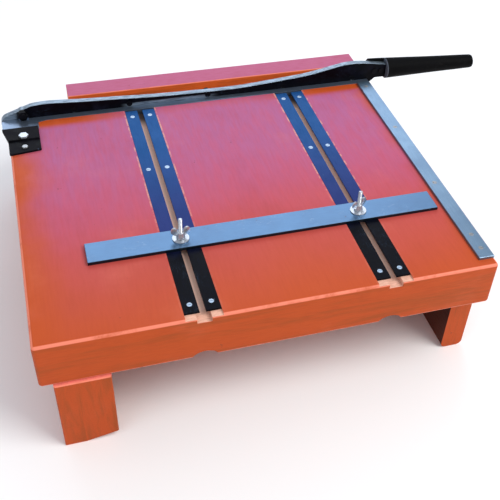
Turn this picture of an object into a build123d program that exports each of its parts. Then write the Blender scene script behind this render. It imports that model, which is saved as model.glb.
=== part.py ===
from build123d import *
from math import asin, cos, hypot, radians, sin
import os

# Guillotine paper cutter on a wooden bench: a thick painted table on two runners, a steel bed
# knife along the rear edge, a pivoted knife arm behind it, and a sliding paper gauge.
# Millimetres. +X runs along the cut towards the grip, +Y from the front to the knife, +Z up.
# The origin is on the floor, at the middle of the rectangle that the whole cutter covers.

# Table and runners
table_length = 635.0
table_depth = 497.5
table_thickness = 75.0
table_edge_round = 5.0
runner_height = 127.5
left_runner_width = 74.0
left_runner_inset = 17.5
left_runner_lead = 3.0  # how far it stands in front of the table
left_runner_bevel = 9.0  # height of the planed inner toe
left_runner_flat = 30.0  # width that is left flat on the floor
right_runner_width = 35.0
right_runner_setback = 34.0
runner_toe_round = 9.0
runner_front_chamfer = 1.5
relief_width = 35.0  # rounded relief grooves under the table, one below each T-slot
relief_depth = 11.0

# Rear rail on its ledger
rail_width = 42.0
rail_inset = 104.5  # from the table's left side
offcut_gap = 54.0  # from the bed knife to the rail
ledger_thickness = 18.0
ledger_width = 70.0
ledger_inset = 30.0
ledger_screw_steps = (12.0, 28.0)  # behind the ledger's front
ledger_screw_share = 0.6  # across the left runner
rail_screw_shares = (0.12, 0.5, 0.86)
rail_edge_round = 2.0

# Fits
running_fit = 0.08  # radial, shaft in a turning bore
hole_gap = 0.1  # radial, screw or bolt in a fixed hole
slide_gap = 0.2  # under and beside sliding pieces
knife_gap = 0.3  # between the two knives
thread_allowance = 0.3  # room under a stop

# Slot strips and T-slots
strip_width = 20.5
strip_thickness = 3.0
strip_proud = 0.5
strip_setback = 12.0  # from the table's front edge
strip_rear_gap = 3.5  # from the bed knife
slot_gap = 8.5
slot_from_left = 216.0
slot_spacing = 264.5
tee_width = 20.0
tee_depth = 7.0
strip_screw_shares = (0.031, 0.65, 0.963)  # along the strip from its front end
strip_chamfer = 0.3
strip_names = (
    "left_slot_outer_strip",
    "left_slot_inner_strip",
    "right_slot_inner_strip",
    "right_slot_outer_strip",
)

# Side guide and paper gauge share one edge chamfer
bar_chamfer = 0.5
guide_width = 23.0
guide_thickness = 4.5
guide_inset = 2.0  # from the table's right side
guide_setback = 14.0
guide_rear_gap = 2.5
guide_screw_shares = (0.04, 0.102, 0.362, 0.688, 0.965)

# Bed knife
bed_thickness = 12.0
bed_height = 45.0
bed_proud = 0.5
bed_screw_drop = 32.0
bed_screw_count = 5
bed_screw_margin = 60.0

# Knife arm: heights are above the table top, distances from the table's left side
arm_thickness = 10.0
blade_thickness = 4.0
pivot_from_left = 26.5
pivot_height = 9.5
hub_radius = 8.0
tail_centre = (5.0, -6.0)
tail_radius = 14.5
spine_points = (
    (40.0, 21.5),
    (64.0, 23.5),
    (105.0, 21.0),
    (170.0, 17.5),
    (240.0, 13.5),
    (320.0, 11.5),
    (400.0, 11.5),
    (465.0, 16.0),
    (525.0, 21.5),
    (570.0, 30.0),
    (600.0, 34.0),
    (632.0, 31.5),
    (670.0, 25.0),
)
arm_underside = -9.0
heel_from_left = 62.0  # where the underside turns down to the tail
tang_underside = 1.0
tang_start = 650.0
blade_start = 46.0
blade_end = 638.0
blade_full_from = 84.0
edge_drop_heel = -13.0
edge_drop_toe = -18.0
edge_belly = 1.5
edge_bevel = 3.0
heel_slope = 4.0  # length over which the edge drops at the heel
blade_bolts_from_left = (110.0, 202.0, 338.0, 474.0, 606.0)
blade_bolt_height = 5.5
stop_pin_radius = 4.0
stop_pin_from_left = 70.0
stop_pin_cover = 2.0  # steel left in front of the pin
stop_pin_chamfer = 0.6

# Corner bracket and heel of the bed knife
bracket_setback = 90.5  # from the table's rear edge
bracket_skew = 6.0  # the front edge runs back towards the right
bracket_width = 49.0
flange_length = 34.0
flange_thickness = 3.5
step_length = 35.0
step_thickness = 6.5
bracket_overhang = 1.0  # past the table's left side
bracket_flare = 9.0  # how far the rear corner stands past the table's left side
bracket_corner_round = 2.5
bracket_chamfer = 0.8
bracket_bolt_length = 60.0
fixing_chamfer = 0.6
bracket_bolt_radius = 4.0
bracket_bolt_width = 14.0
bracket_bolt_head = 3.5
bracket_bolt_step = 7.2  # centre of the bolt behind the step
bracket_screw_width = 9.0
bracket_screw_head = 2.5
bracket_screw_step = 15.0  # centre of the screw behind the bracket's front
heel_overhang = 8.5  # past the table's left side
heel_depth = 7.0
heel_taper = 14.0  # length over which the heel narrows into the bar
heel_shoulder = 3.5
heel_round = 6.0

# Pivot
pivot_radius = 5.0
pivot_head_radius = 6.6
pivot_nut_width = 15.0
pivot_nut_height = 5.0
pivot_tip = 1.0  # past the nut
thread_chamfer = 0.8
ear_thickness = 3.6
ear_radius = 7.8
flat_head_angle = 45

# Grip
grip_reach = 214.0  # past the table's right side
grip_start = 639.0
grip_shoulder = 670.4
grip_radius_arm = 19.4
grip_radius_end = 12.0
grip_height_arm = 15.2  # axis above the table top at the arm side
grip_height_end = 8.2
grip_end_round = 5.0
grip_axis_back = 7.2  # axis behind the arm's front face
rivet_radius = 3.0
rivet_head_radius = 5.0
rivet_head_height = 1.6
rivets_from_left = (648.0, 661.0)
rivet_height = 14.5
rivet_seat_share = 0.92  # of the grip's radius, from its axis to the flat under the rivet head

# Paper gauge
gauge_length = 515.0
gauge_width = 40.0
gauge_thickness = 5.0
gauge_from_left = 85.0
gauge_rest = 150.0  # gauge centre line from the front edge
gauge_bolt_radius = 3.0
gauge_bolt_top = 41.0
gauge_head_width = 18.0
gauge_head_height = 5.0
washer_radius = 12.0
washer_thickness = 1.6
wing_hub_radius = 6.5
wing_hub_top_radius = 5.0
wing_hub_height = 11.0
wing_span = 28.0
wing_height = 19.0
wing_thickness = 2.6
wing_lobe_across = 5.88
wing_lobe_up = 7.98
wing_root = 1.0  # inside the hub
wing_foot = 0.5  # above the washer
right_wing_turn = 25.0

# Screws: thread radius, head radius, length
small_screw = (1.8, 3.6, 22.0)
small_nut_tip = 2.0  # of a blade bolt past its nut
bolt_slot_width = 1.2
bolt_slot_depth = 1.0
screw_slot_width = 0.22  # of the head's radius
screw_slot_depth = 0.4  # of the head's height
slot_reach = 1.6  # of the head's radius
wood_screw = (2.5, 5.0, 40.0)
coach_radius = 5.0
coach_head_width = 16.0
coach_head_height = 7.0
coach_length = 85.0
coach_bore_radius = 12.0
coach_bore_depth = 75.0
coach_margin = 90.0
nut_height = 5.0
nut_width = 10.0

# Places worked out from the sizes above
nose = tail_radius - tail_centre[0]
rail_back = table_depth + bed_thickness + offcut_gap + rail_width
table_left = (nose - table_length - grip_reach) / 2
table_front = (left_runner_lead - rail_back) / 2
table_right = table_left + table_length
top = runner_height + table_thickness
table_rear = table_front + table_depth
bed_rear = table_rear + bed_thickness
arm_front = bed_rear + knife_gap
arm_rear = arm_front + arm_thickness
rail_rear = table_front + rail_back
slot_centres = (table_left + slot_from_left, table_left + slot_from_left + slot_spacing)
pair_width = 2 * strip_width + slot_gap
rebate_depth = strip_thickness - strip_proud
strip_length = table_depth - strip_setback - strip_rear_gap
strip_offset = (slot_gap + strip_width) / 2
strip_front = table_front + strip_setback
guide_length = table_depth - guide_setback - guide_rear_gap
guide_centre = table_right - guide_inset - guide_width / 2
guide_front = table_front + guide_setback
gauge_y = table_front + gauge_rest
gauge_bottom = top + strip_proud + slide_gap
pivot_x = table_left + pivot_from_left
pivot_z = top + pivot_height
bracket_y = table_rear - bracket_setback
step_y = bracket_y + flange_length
bracket_rear = step_y + step_length
heel_front = bracket_rear + knife_gap
grip_axis_y = arm_front + grip_axis_back
strip_screw_ys = [strip_front + share * strip_length for share in strip_screw_shares]
guide_screw_ys = [guide_front + share * guide_length for share in guide_screw_shares]
bed_screw_pitch = (table_length - 2 * bed_screw_margin) / (bed_screw_count - 1)
bed_screw_xs = [table_left + bed_screw_margin + i * bed_screw_pitch for i in range(bed_screw_count)]
runner_left = table_left + left_runner_inset
left_runner_right = runner_left + left_runner_width
left_runner_x = runner_left + left_runner_width / 2
right_runner_x = table_right - right_runner_width / 2
coach_ys = (table_front + coach_margin, table_rear - coach_margin)
bracket_x = table_left + bracket_width / 2 - bracket_overhang
bracket_bolt = (bracket_bolt_radius, bracket_bolt_width / 2, bracket_bolt_length)
heel_right = table_left + bracket_width



os.makedirs("parts", exist_ok=True)


def on_table(point):
    """A point given from the table's left side and above its top, as X and Z."""
    return (table_left + point[0], top + point[1])


def facing_front(y):
    """Vertical plane at depth y whose extrusions come towards the front."""
    return Plane.XZ.offset(-y)


def block(x_span, y_span, z_span, mode=Mode.ADD):
    """Box between three pairs of limits, in the part being built."""
    spans = (x_span, y_span, z_span)
    middle = [(low + high) / 2 for low, high in spans]
    with Locations(tuple(middle)):
        Box(*[high - low for low, high in spans], mode=mode)


def save(piece, name):
    piece.part.label = name
    export_step(piece.part, f"parts/{name}.step")


def screw_group(name, points, screw, direction=Plane.XY):
    """Countersunk screws: points are the middles of the flat heads, direction is up and out."""
    thread, head, length = screw
    head_height = head - thread
    with BuildPart() as screws:
        for point in points:
            seat = Plane(origin=point, x_dir=direction.x_dir, z_dir=direction.z_dir)
            with BuildSketch(seat):
                Circle(head)
            extrude(amount=-head_height, taper=flat_head_angle)
            with BuildSketch(seat):
                Circle(thread)
            extrude(amount=-length)
            with BuildSketch(seat):
                Rectangle(slot_reach * head, screw_slot_width * head)
            extrude(amount=-screw_slot_depth * head_height, mode=Mode.SUBTRACT)
    save(screws, name)


def screw_seats(points, screw, depth, direction=Plane.XY):
    """Countersunk clearance holes for screw_group, cut into the part being built."""
    thread, head, length = screw
    for point in points:
        seat = Plane(origin=point, x_dir=direction.x_dir, z_dir=direction.z_dir)
        with Locations(seat.location):
            CounterSinkHole(thread + hole_gap, head + hole_gap, depth=depth)


def pilot_holes(points, screw, direction=Plane.XY):
    """Straight holes for the part of a screw that lies in the wood."""
    thread, head, length = screw
    for point in points:
        seat = Plane(origin=point, x_dir=direction.x_dir, z_dir=direction.z_dir)
        with Locations(seat.location):
            Cylinder(
                thread + hole_gap,
                length + hole_gap,
                align=(Align.CENTER, Align.CENTER, Align.MAX),
                mode=Mode.SUBTRACT,
            )


# Screw places
strip_screw_points = [
    (centre + side * strip_offset, y, top + strip_proud)
    for centre in slot_centres
    for side in (-1, 1)
    for y in strip_screw_ys
]
guide_screw_points = [(guide_centre, y, top + guide_thickness) for y in guide_screw_ys]
bed_screw_points = [(x, bed_rear, top - bed_screw_drop) for x in bed_screw_xs]
rearward = Plane(origin=(0, 0, 0), x_dir=(1, 0, 0), z_dir=(0, 1, 0))
downward = Plane(origin=(0, 0, 0), x_dir=(1, 0, 0), z_dir=(0, 0, -1))
rail_left = table_left + rail_inset
rail_y = rail_rear - rail_width / 2
ledger_front = rail_rear - ledger_width
rail_screw_points = [
    (rail_left + share * (table_right - rail_left), rail_y, runner_height)
    for share in rail_screw_shares
]
ledger_screw_points = [
    (x, ledger_front + step, runner_height + ledger_thickness)
    for x in (runner_left + ledger_screw_share * left_runner_width, right_runner_x)
    for step in ledger_screw_steps
]
bracket_screw_point = (bracket_x, bracket_y + bracket_screw_step, top + flange_thickness)
bracket_bolt_point = (bracket_x, step_y + bracket_bolt_step, top + step_thickness)

# Table: one thick plank with two T-slots, open at the front and closed by the bed knife
with BuildPart() as table_top:
    block((table_left, table_right), (table_front, table_rear), (runner_height, top))
    rear_top_edge = table_top.edges().filter_by(Axis.X).group_by(Axis.Z)[-1].sort_by(Axis.Y)[-1]
    softened = table_top.edges() - ShapeList([rear_top_edge])
    rear_face_edges = table_top.faces().sort_by(Axis.Y)[-1].edges()
    softened = softened - rear_face_edges
    fillet(softened, radius=table_edge_round)
    for centre in slot_centres:
        half_pair = pair_width / 2 + hole_gap
        half_tee = tee_width / 2
        whole = (table_front, table_rear)
        block((centre - half_pair, centre + half_pair), whole, (top - rebate_depth, top), Mode.SUBTRACT)
        tee_floor = top - rebate_depth - tee_depth
        block((centre - half_tee, centre + half_tee), whole, (tee_floor, top), Mode.SUBTRACT)
        with BuildSketch(facing_front(table_rear)):
            with Locations((centre, runner_height)):
                Ellipse(relief_width / 2, relief_depth)
        extrude(amount=table_depth, mode=Mode.SUBTRACT)
    pilot_holes(strip_screw_points, small_screw)
    pilot_holes(guide_screw_points, small_screw)
    pilot_holes(bed_screw_points, wood_screw, rearward)
    pilot_holes([bracket_screw_point], wood_screw)
    pilot_holes([bracket_bolt_point], bracket_bolt)
    with BuildSketch(Plane.XY.offset(top)):
        with BuildLine():
            Polyline(
                (table_left - heel_overhang, heel_front - knife_gap),
                (heel_right + hole_gap, heel_front - knife_gap),
                (heel_right + hole_gap, table_rear - heel_shoulder),
                (heel_right + heel_taper, table_rear),
                (table_left - heel_overhang, table_rear),
                close=True,
            )
        make_face()
    extrude(amount=-(heel_depth - bed_proud), mode=Mode.SUBTRACT)
    with Locations(
        *[(x, y, coach_bore_depth) for x in (left_runner_x, right_runner_x) for y in coach_ys]
    ):
        Cylinder(
            coach_radius + hole_gap,
            coach_length,
            align=(Align.CENTER, Align.CENTER, Align.MIN),
            mode=Mode.SUBTRACT,
        )
save(table_top, "table_top")

# Runners: the left one stands a little in front of the table and its inner toe is planed off
with BuildPart() as left_runner:
    with BuildSketch(facing_front(rail_rear)):
        with BuildLine():
            Polyline(
                (runner_left, runner_height),
                (runner_left, 0),
                (runner_left + left_runner_flat, 0),
                (left_runner_right, left_runner_bevel),
                (left_runner_right, runner_height),
                close=True,
            )
        make_face()
    extrude(amount=rail_rear - table_front + left_runner_lead)
    front_edges = left_runner.faces().sort_by(Axis.Y)[0].edges()
    chamfer(front_edges, length=runner_front_chamfer)
    with Locations(*[(left_runner_x, y, 0) for y in coach_ys]):
        Cylinder(
            coach_bore_radius,
            coach_bore_depth,
            align=(Align.CENTER, Align.CENTER, Align.MIN),
            mode=Mode.SUBTRACT,
        )
        Cylinder(
            coach_radius + hole_gap,
            runner_height,
            align=(Align.CENTER, Align.CENTER, Align.MIN),
            mode=Mode.SUBTRACT,
        )
    pilot_holes(ledger_screw_points[:2], wood_screw)
save(left_runner, "left_runner")

with BuildPart() as right_runner:
    block(
        (table_right - right_runner_width, table_right),
        (table_front + right_runner_setback, rail_rear),
        (0, runner_height),
    )
    toe_edges = right_runner.edges().filter_by(Axis.Y).group_by(Axis.Z)[0]
    fillet(toe_edges, radius=runner_toe_round)
    with Locations(*[(right_runner_x, y, 0) for y in coach_ys]):
        Cylinder(
            coach_bore_radius,
            coach_bore_depth,
            align=(Align.CENTER, Align.CENTER, Align.MIN),
            mode=Mode.SUBTRACT,
        )
        Cylinder(
            coach_radius + hole_gap,
            runner_height,
            align=(Align.CENTER, Align.CENTER, Align.MIN),
            mode=Mode.SUBTRACT,
        )
    pilot_holes(ledger_screw_points[2:], wood_screw)
save(right_runner, "right_runner")

with BuildPart() as coach_screws:
    for x in (left_runner_x, right_runner_x):
        for y in coach_ys:
            with BuildSketch(Plane.XY.offset(coach_bore_depth - coach_head_height)):
                with Locations((x, y)):
                    RegularPolygon(coach_head_width / 2, 6, major_radius=False)
            extrude(amount=coach_head_height)
            with BuildSketch(Plane.XY.offset(coach_bore_depth)):
                with Locations((x, y)):
                    Circle(coach_radius)
            extrude(amount=coach_length)
save(coach_screws, "coach_screws")

# Ledger across the runners behind the table, and the rail that stands on it, level with the top
with BuildPart() as rear_ledger:
    block(
        (table_left + ledger_inset, table_right),
        (ledger_front, rail_rear),
        (runner_height, runner_height + ledger_thickness),
    )
    screw_seats(ledger_screw_points, wood_screw, ledger_thickness)
    screw_seats(rail_screw_points, wood_screw, ledger_thickness, downward)
save(rear_ledger, "rear_ledger")

with BuildPart() as rear_rail:
    rail_span = (rail_left, table_right)
    block(rail_span, (rail_rear - rail_width, rail_rear), (runner_height + ledger_thickness, top))
    fillet(rear_rail.edges().filter_by(Axis.X).group_by(Axis.Z)[-1], radius=rail_edge_round)
    pilot_holes(rail_screw_points, wood_screw, downward)
save(rear_rail, "rear_rail")

screw_group("ledger_screws", ledger_screw_points, wood_screw)
screw_group("rail_screws", rail_screw_points, wood_screw, downward)

# Slot strips: two beside each T-slot, their inner edges over the head of the gauge bolt
strip_middles = [centre + side * strip_offset for centre in slot_centres for side in (-1, 1)]
for name, middle in zip(strip_names, strip_middles):
    with BuildPart() as strip:
        block(
            (middle - strip_width / 2, middle + strip_width / 2),
            (strip_front, strip_front + strip_length),
            (top - rebate_depth, top + strip_proud),
        )
        seats = [(middle, y, top + strip_proud) for y in strip_screw_ys]
        screw_seats(seats, small_screw, strip_thickness)
        chamfer(strip.faces().sort_by(Axis.Z)[-1].outer_wire().edges(), length=strip_chamfer)
    save(strip, name)
screw_group("strip_screws", strip_screw_points, small_screw)

# Side guide along the right edge, square to the cut
with BuildPart() as side_guide:
    block(
        (guide_centre - guide_width / 2, guide_centre + guide_width / 2),
        (guide_front, guide_front + guide_length),
        (top, top + guide_thickness),
    )
    screw_seats(guide_screw_points, small_screw, guide_thickness)
    chamfer(side_guide.faces().sort_by(Axis.Z)[-1].outer_wire().edges(), length=bar_chamfer)
save(side_guide, "side_guide")
screw_group("guide_screws", guide_screw_points, small_screw)

# Bed knife: a bar on edge against the table's rear face, with the stop pin under the arm
stop_pin_point = (stop_pin_from_left, arm_underside - thread_allowance - stop_pin_radius)
stop_pin_hole = bed_thickness - stop_pin_cover
bed_top = top + bed_proud
with BuildPart() as bed_knife:
    block((table_left, table_right), (table_rear, bed_rear), (bed_top - bed_height, bed_top))
    with BuildSketch(Plane.XY.offset(bed_top)):
        with BuildLine():
            heel_left = table_left - heel_overhang
            Polyline(
                (heel_left, heel_front),
                (heel_right, heel_front),
                (heel_right, table_rear - heel_shoulder),
                (heel_right + heel_taper, table_rear),
                (heel_right + heel_taper, bed_rear),
                (heel_left, bed_rear),
                close=True,
            )
        make_face()
    extrude(amount=-heel_depth)
    heel_corners = bed_knife.edges().filter_by(Axis.Z).group_by(Axis.X)[0]
    fillet(heel_corners, radius=heel_round)
    with BuildSketch(facing_front(bed_rear)):
        with Locations((pivot_x, pivot_z)):
            Circle(ear_radius)
        with Locations((pivot_x, bed_top)):
            Rectangle(2 * ear_radius, pivot_z - bed_top, align=(Align.CENTER, Align.MIN))
    extrude(amount=ear_thickness)
    with BuildSketch(facing_front(bed_rear)):
        with Locations((pivot_x, pivot_z)):
            Circle(pivot_radius + hole_gap)
    extrude(amount=ear_thickness, mode=Mode.SUBTRACT)
    screw_seats(bed_screw_points, wood_screw, bed_thickness, rearward)
    with BuildSketch(facing_front(bed_rear)):
        with Locations(on_table(stop_pin_point)):
            Circle(stop_pin_radius + hole_gap)
    extrude(amount=stop_pin_hole, mode=Mode.SUBTRACT)
save(bed_knife, "bed_knife")
screw_group("bed_knife_screws", bed_screw_points, wood_screw, rearward)

with BuildPart() as stop_pin:
    with BuildSketch(facing_front(arm_rear)):
        with Locations(on_table(stop_pin_point)):
            Circle(stop_pin_radius)
    extrude(amount=arm_thickness + knife_gap + stop_pin_hole - hole_gap)
    chamfer(stop_pin.faces().sort_by(Axis.Y)[-1].edges(), length=stop_pin_chamfer)
save(stop_pin, "stop_pin")

# Outline of the whole arm, seen from the front: round tail, curved spine, tang for the grip
def tangent_point(target, side):
    """Point on the tail circle whose tangent passes through target; side is 1 above, -1 below."""
    across = target[0] - tail_centre[0]
    up = target[1] - tail_centre[1]
    span = hypot(across, up)
    unit = (across / span, up / span)
    lean = asin(tail_radius / span)
    along = tail_radius * sin(lean)
    off = side * tail_radius * cos(lean)
    return (
        tail_centre[0] + along * unit[0] - off * unit[1],
        tail_centre[1] + along * unit[1] + off * unit[0],
    )


heel = (heel_from_left, arm_underside)
spine_start = spine_points[0]
with BuildSketch(Plane.XZ) as arm_outline:
    with BuildLine():
        Spline(*[on_table(point) for point in spine_points])
        Polyline(
            on_table(spine_points[-1]),
            on_table((spine_points[-1][0], tang_underside)),
            on_table((tang_start, tang_underside)),
            on_table((blade_end + knife_gap, arm_underside)),
            on_table(heel),
            on_table(tangent_point(heel, -1)),
            on_table(tail_centre),
            on_table(tangent_point(spine_start, 1)),
            on_table(spine_start),
        )
    make_face()
    with Locations(on_table(tail_centre)):
        Circle(tail_radius)
    with Locations((pivot_x, pivot_z)):
        Circle(hub_radius)

# Outline of the blade: it shares the spine and hangs below the arm as a slightly bellied edge
edge_middle = ((blade_full_from + blade_end) / 2, (edge_drop_heel + edge_drop_toe) / 2 - edge_belly)
with BuildSketch(Plane.XZ) as blade_outline:
    with BuildLine():
        ThreePointArc(
            on_table((blade_full_from, edge_drop_heel)),
            on_table(edge_middle),
            on_table((blade_end, edge_drop_toe)),
        )
        Polyline(
            on_table((blade_end, edge_drop_toe)),
            on_table((blade_end, arm_underside)),
            on_table((blade_full_from - heel_slope, arm_underside)),
            on_table((blade_full_from, edge_drop_heel)),
        )
    make_face()
    add(arm_outline.sketch_local)
    with Locations(on_table((blade_start, 0.0))):
        Rectangle(
            2 * blade_start + 2 * nose,
            4 * table_thickness,
            align=(Align.MAX, Align.CENTER),
            mode=Mode.SUBTRACT,
        )
    with Locations(on_table((blade_end, 0.0))):
        Rectangle(
            2 * grip_reach,
            4 * table_thickness,
            align=(Align.MIN, Align.CENTER),
            mode=Mode.SUBTRACT,
        )

blade_bolt_points = [on_table((x, blade_bolt_height)) for x in blade_bolts_from_left]
rivet_points = [on_table((x, rivet_height)) for x in rivets_from_left]
with BuildPart() as knife_arm:
    with BuildSketch(facing_front(arm_rear)):
        add(arm_outline.sketch_local)
    extrude(amount=arm_thickness)
    with BuildSketch(facing_front(arm_front + blade_thickness)):
        add(blade_outline.sketch_local)
    extrude(amount=blade_thickness, mode=Mode.SUBTRACT)
    with BuildSketch(facing_front(arm_rear)):
        with Locations((pivot_x, pivot_z)):
            Circle(pivot_radius + running_fit)
        with Locations(*(blade_bolt_points + rivet_points)):
            Circle(rivet_radius + hole_gap)
    extrude(amount=arm_thickness, mode=Mode.SUBTRACT)
    with BuildSketch(facing_front(arm_rear)):
        with Locations((pivot_x, pivot_z)):
            Circle(pivot_head_radius + knife_gap)
    extrude(
        amount=pivot_head_radius + knife_gap - pivot_radius,
        taper=flat_head_angle,
        mode=Mode.SUBTRACT,
    )
save(knife_arm, "knife_arm")

bolt_seats = [
    Plane(origin=(x, arm_front, z), x_dir=(1, 0, 0), z_dir=(0, -1, 0)) for x, z in blade_bolt_points
]
with BuildPart() as knife_blade:
    with BuildSketch(facing_front(arm_front + blade_thickness)):
        add(blade_outline.sketch_local)
    extrude(amount=blade_thickness)
    low_rear_edges = [
        edge
        for edge in knife_blade.edges()
        if edge.center().Z < top + edge_drop_heel
        and abs(edge.center().Y - arm_front - blade_thickness) < hole_gap
        and edge.length > arm_thickness
    ]
    chamfer(low_rear_edges, length=edge_bevel)
    with Locations(*[seat.location for seat in bolt_seats]):
        CounterSinkHole(rivet_radius + hole_gap, rivet_head_radius + hole_gap, depth=blade_thickness)
save(knife_blade, "knife_blade")

# Blade bolts: flush heads at the front, nuts behind the arm
with BuildPart() as blade_bolts:
    for seat in bolt_seats:
        with BuildSketch(seat):
            Circle(rivet_head_radius)
        extrude(amount=-(rivet_head_radius - rivet_radius), taper=flat_head_angle)
        with BuildSketch(seat):
            Circle(rivet_radius)
        extrude(amount=-(arm_thickness + nut_height + small_nut_tip))
        with BuildSketch(seat):
            Rectangle(slot_reach * rivet_head_radius, bolt_slot_width)
        extrude(amount=-bolt_slot_depth, mode=Mode.SUBTRACT)
save(blade_bolts, "blade_bolts")

with BuildPart() as blade_nuts:
    with BuildSketch(facing_front(arm_rear + nut_height)):
        with Locations(*blade_bolt_points):
            RegularPolygon(nut_width / 2, 6, major_radius=False)
            Circle(rivet_radius + hole_gap, mode=Mode.SUBTRACT)
    extrude(amount=nut_height)
save(blade_nuts, "blade_nuts")

# Corner bracket: a stepped plate that butts against the heel of the bed knife
with BuildPart() as corner_bracket:
    bracket_left = bracket_x - bracket_width / 2
    bracket_right = bracket_x + bracket_width / 2
    with BuildSketch(Plane.XY.offset(top)):
        with BuildLine():
            Polyline(
                (bracket_left, bracket_y),
                (bracket_right, bracket_y + bracket_skew),
                (bracket_right, step_y),
                (bracket_left, step_y),
                close=True,
            )
        make_face()
    extrude(amount=flange_thickness)
    with BuildSketch(Plane.XY.offset(top)):
        with BuildLine():
            Polyline(
                (bracket_left, step_y),
                (bracket_right, step_y),
                (bracket_right, bracket_rear),
                (table_left - bracket_flare, bracket_rear),
                close=True,
            )
        make_face()
    extrude(amount=step_thickness)
    front_corners = corner_bracket.edges().filter_by(Axis.Z).sort_by(Axis.Y)[:2]
    fillet(front_corners, radius=bracket_corner_round)
    chamfer(corner_bracket.faces().sort_by(Axis.Z)[-1].edges(), length=bracket_chamfer)
    with Locations(bracket_screw_point):
        Hole(wood_screw[0] + hole_gap, depth=flange_thickness)
    with Locations(bracket_bolt_point):
        Hole(bracket_bolt_radius + hole_gap, depth=step_thickness)
save(corner_bracket, "corner_bracket")

bracket_fixings = (
    ("bracket_screw", bracket_screw_point, bracket_screw_width, bracket_screw_head, wood_screw),
    ("bracket_bolt", bracket_bolt_point, bracket_bolt_width, bracket_bolt_head, bracket_bolt),
)
for name, point, width, head, thread in bracket_fixings:
    with BuildPart() as fixing:
        with BuildSketch(Plane.XY.offset(point[2])):
            with Locations((point[0], point[1])):
                RegularPolygon(width / 2, 6, major_radius=False)
        extrude(amount=head)
        chamfer(fixing.faces().sort_by(Axis.Z)[-1].edges(), length=fixing_chamfer)
        with BuildSketch(Plane.XY.offset(point[2])):
            with Locations((point[0], point[1])):
                Circle(thread[0])
        extrude(amount=-thread[2])
    save(fixing, name)

# Pivot screw: its flat head is sunk in the back of the arm and its nut stands before the ear
with BuildPart() as pivot_screw:
    with BuildSketch(facing_front(arm_rear - thread_allowance)):
        with Locations((pivot_x, pivot_z)):
            Circle(pivot_head_radius)
    extrude(amount=pivot_head_radius - pivot_radius, taper=flat_head_angle)
    with BuildSketch(facing_front(arm_rear - thread_allowance)):
        with Locations((pivot_x, pivot_z)):
            Circle(pivot_radius)
    extrude(amount=arm_rear - thread_allowance - bed_rear + ear_thickness + pivot_nut_height + pivot_tip)
    chamfer(pivot_screw.faces().sort_by(Axis.Y)[0].edges(), length=thread_chamfer)
save(pivot_screw, "pivot_screw")

with BuildPart() as pivot_nut:
    with BuildSketch(facing_front(bed_rear - ear_thickness)):
        with Locations((pivot_x, pivot_z)):
            RegularPolygon(pivot_nut_width / 2, 6, major_radius=False)
            Circle(pivot_radius + hole_gap, mode=Mode.SUBTRACT)
    extrude(amount=pivot_nut_height)
save(pivot_nut, "pivot_nut")

# Grip: a tapered round bar, its front half cut away beside the arm's tang
rivet_tail = grip_axis_y + rivet_seat_share * grip_radius_arm
grip_length = table_length + grip_reach - grip_start
grip_fall = (grip_height_arm - grip_height_end) / grip_length
grip_axis = Plane(
    origin=(table_left + grip_start, grip_axis_y, top + grip_height_arm),
    x_dir=(0, 1, 0),
    z_dir=(1, 0, -grip_fall),
)
with BuildPart() as grip:
    with BuildSketch(grip_axis):
        Circle(grip_radius_arm)
    with BuildSketch(grip_axis.offset(grip_length)):
        Circle(grip_radius_end)
    loft()
    fillet(grip.faces().sort_by(Axis.X)[-1].edges(), radius=grip_end_round)
    block(
        (table_left + grip_start - grip_radius_arm, table_left + grip_shoulder),
        (arm_front - grip_radius_arm, arm_rear),
        (top - 2 * grip_radius_arm, top + 4 * grip_radius_arm),
        Mode.SUBTRACT,
    )
    with BuildSketch(facing_front(rivet_tail)):
        with Locations(*rivet_points):
            Circle(rivet_radius + hole_gap)
    extrude(amount=rivet_tail - arm_rear, mode=Mode.SUBTRACT)
    with BuildSketch(facing_front(rivet_tail + grip_radius_arm)):
        with Locations(*rivet_points):
            Circle(rivet_head_radius + hole_gap)
    extrude(amount=grip_radius_arm, mode=Mode.SUBTRACT)
save(grip, "grip")

# Rivets through the tang and the grip, with low heads at both ends
with BuildPart() as grip_rivets:
    with BuildSketch(facing_front(rivet_tail + rivet_head_height)):
        with Locations(*rivet_points):
            Circle(rivet_head_radius)
    extrude(amount=rivet_head_height)
    with BuildSketch(facing_front(rivet_tail)):
        with Locations(*rivet_points):
            Circle(rivet_radius)
    extrude(amount=rivet_tail - arm_front)
    with BuildSketch(facing_front(arm_front)):
        with Locations(*rivet_points):
            Circle(rivet_head_radius)
    extrude(amount=rivet_head_height)
save(grip_rivets, "grip_rivets")

# Paper gauge: a flat bar on two bolts whose heads slide in the T-slots
with BuildPart() as gauge_bar:
    gauge_left = table_left + gauge_from_left
    block(
        (gauge_left, gauge_left + gauge_length),
        (gauge_y - gauge_width / 2, gauge_y + gauge_width / 2),
        (gauge_bottom, gauge_bottom + gauge_thickness),
    )
    with Locations(*[(x, gauge_y, gauge_bottom) for x in slot_centres]):
        Cylinder(
            gauge_bolt_radius + hole_gap,
            gauge_thickness,
            align=(Align.CENTER, Align.CENTER, Align.MIN),
            mode=Mode.SUBTRACT,
        )
    chamfer(gauge_bar.faces().sort_by(Axis.Z)[-1].outer_wire().edges(), length=bar_chamfer)
save(gauge_bar, "gauge_bar")

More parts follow.
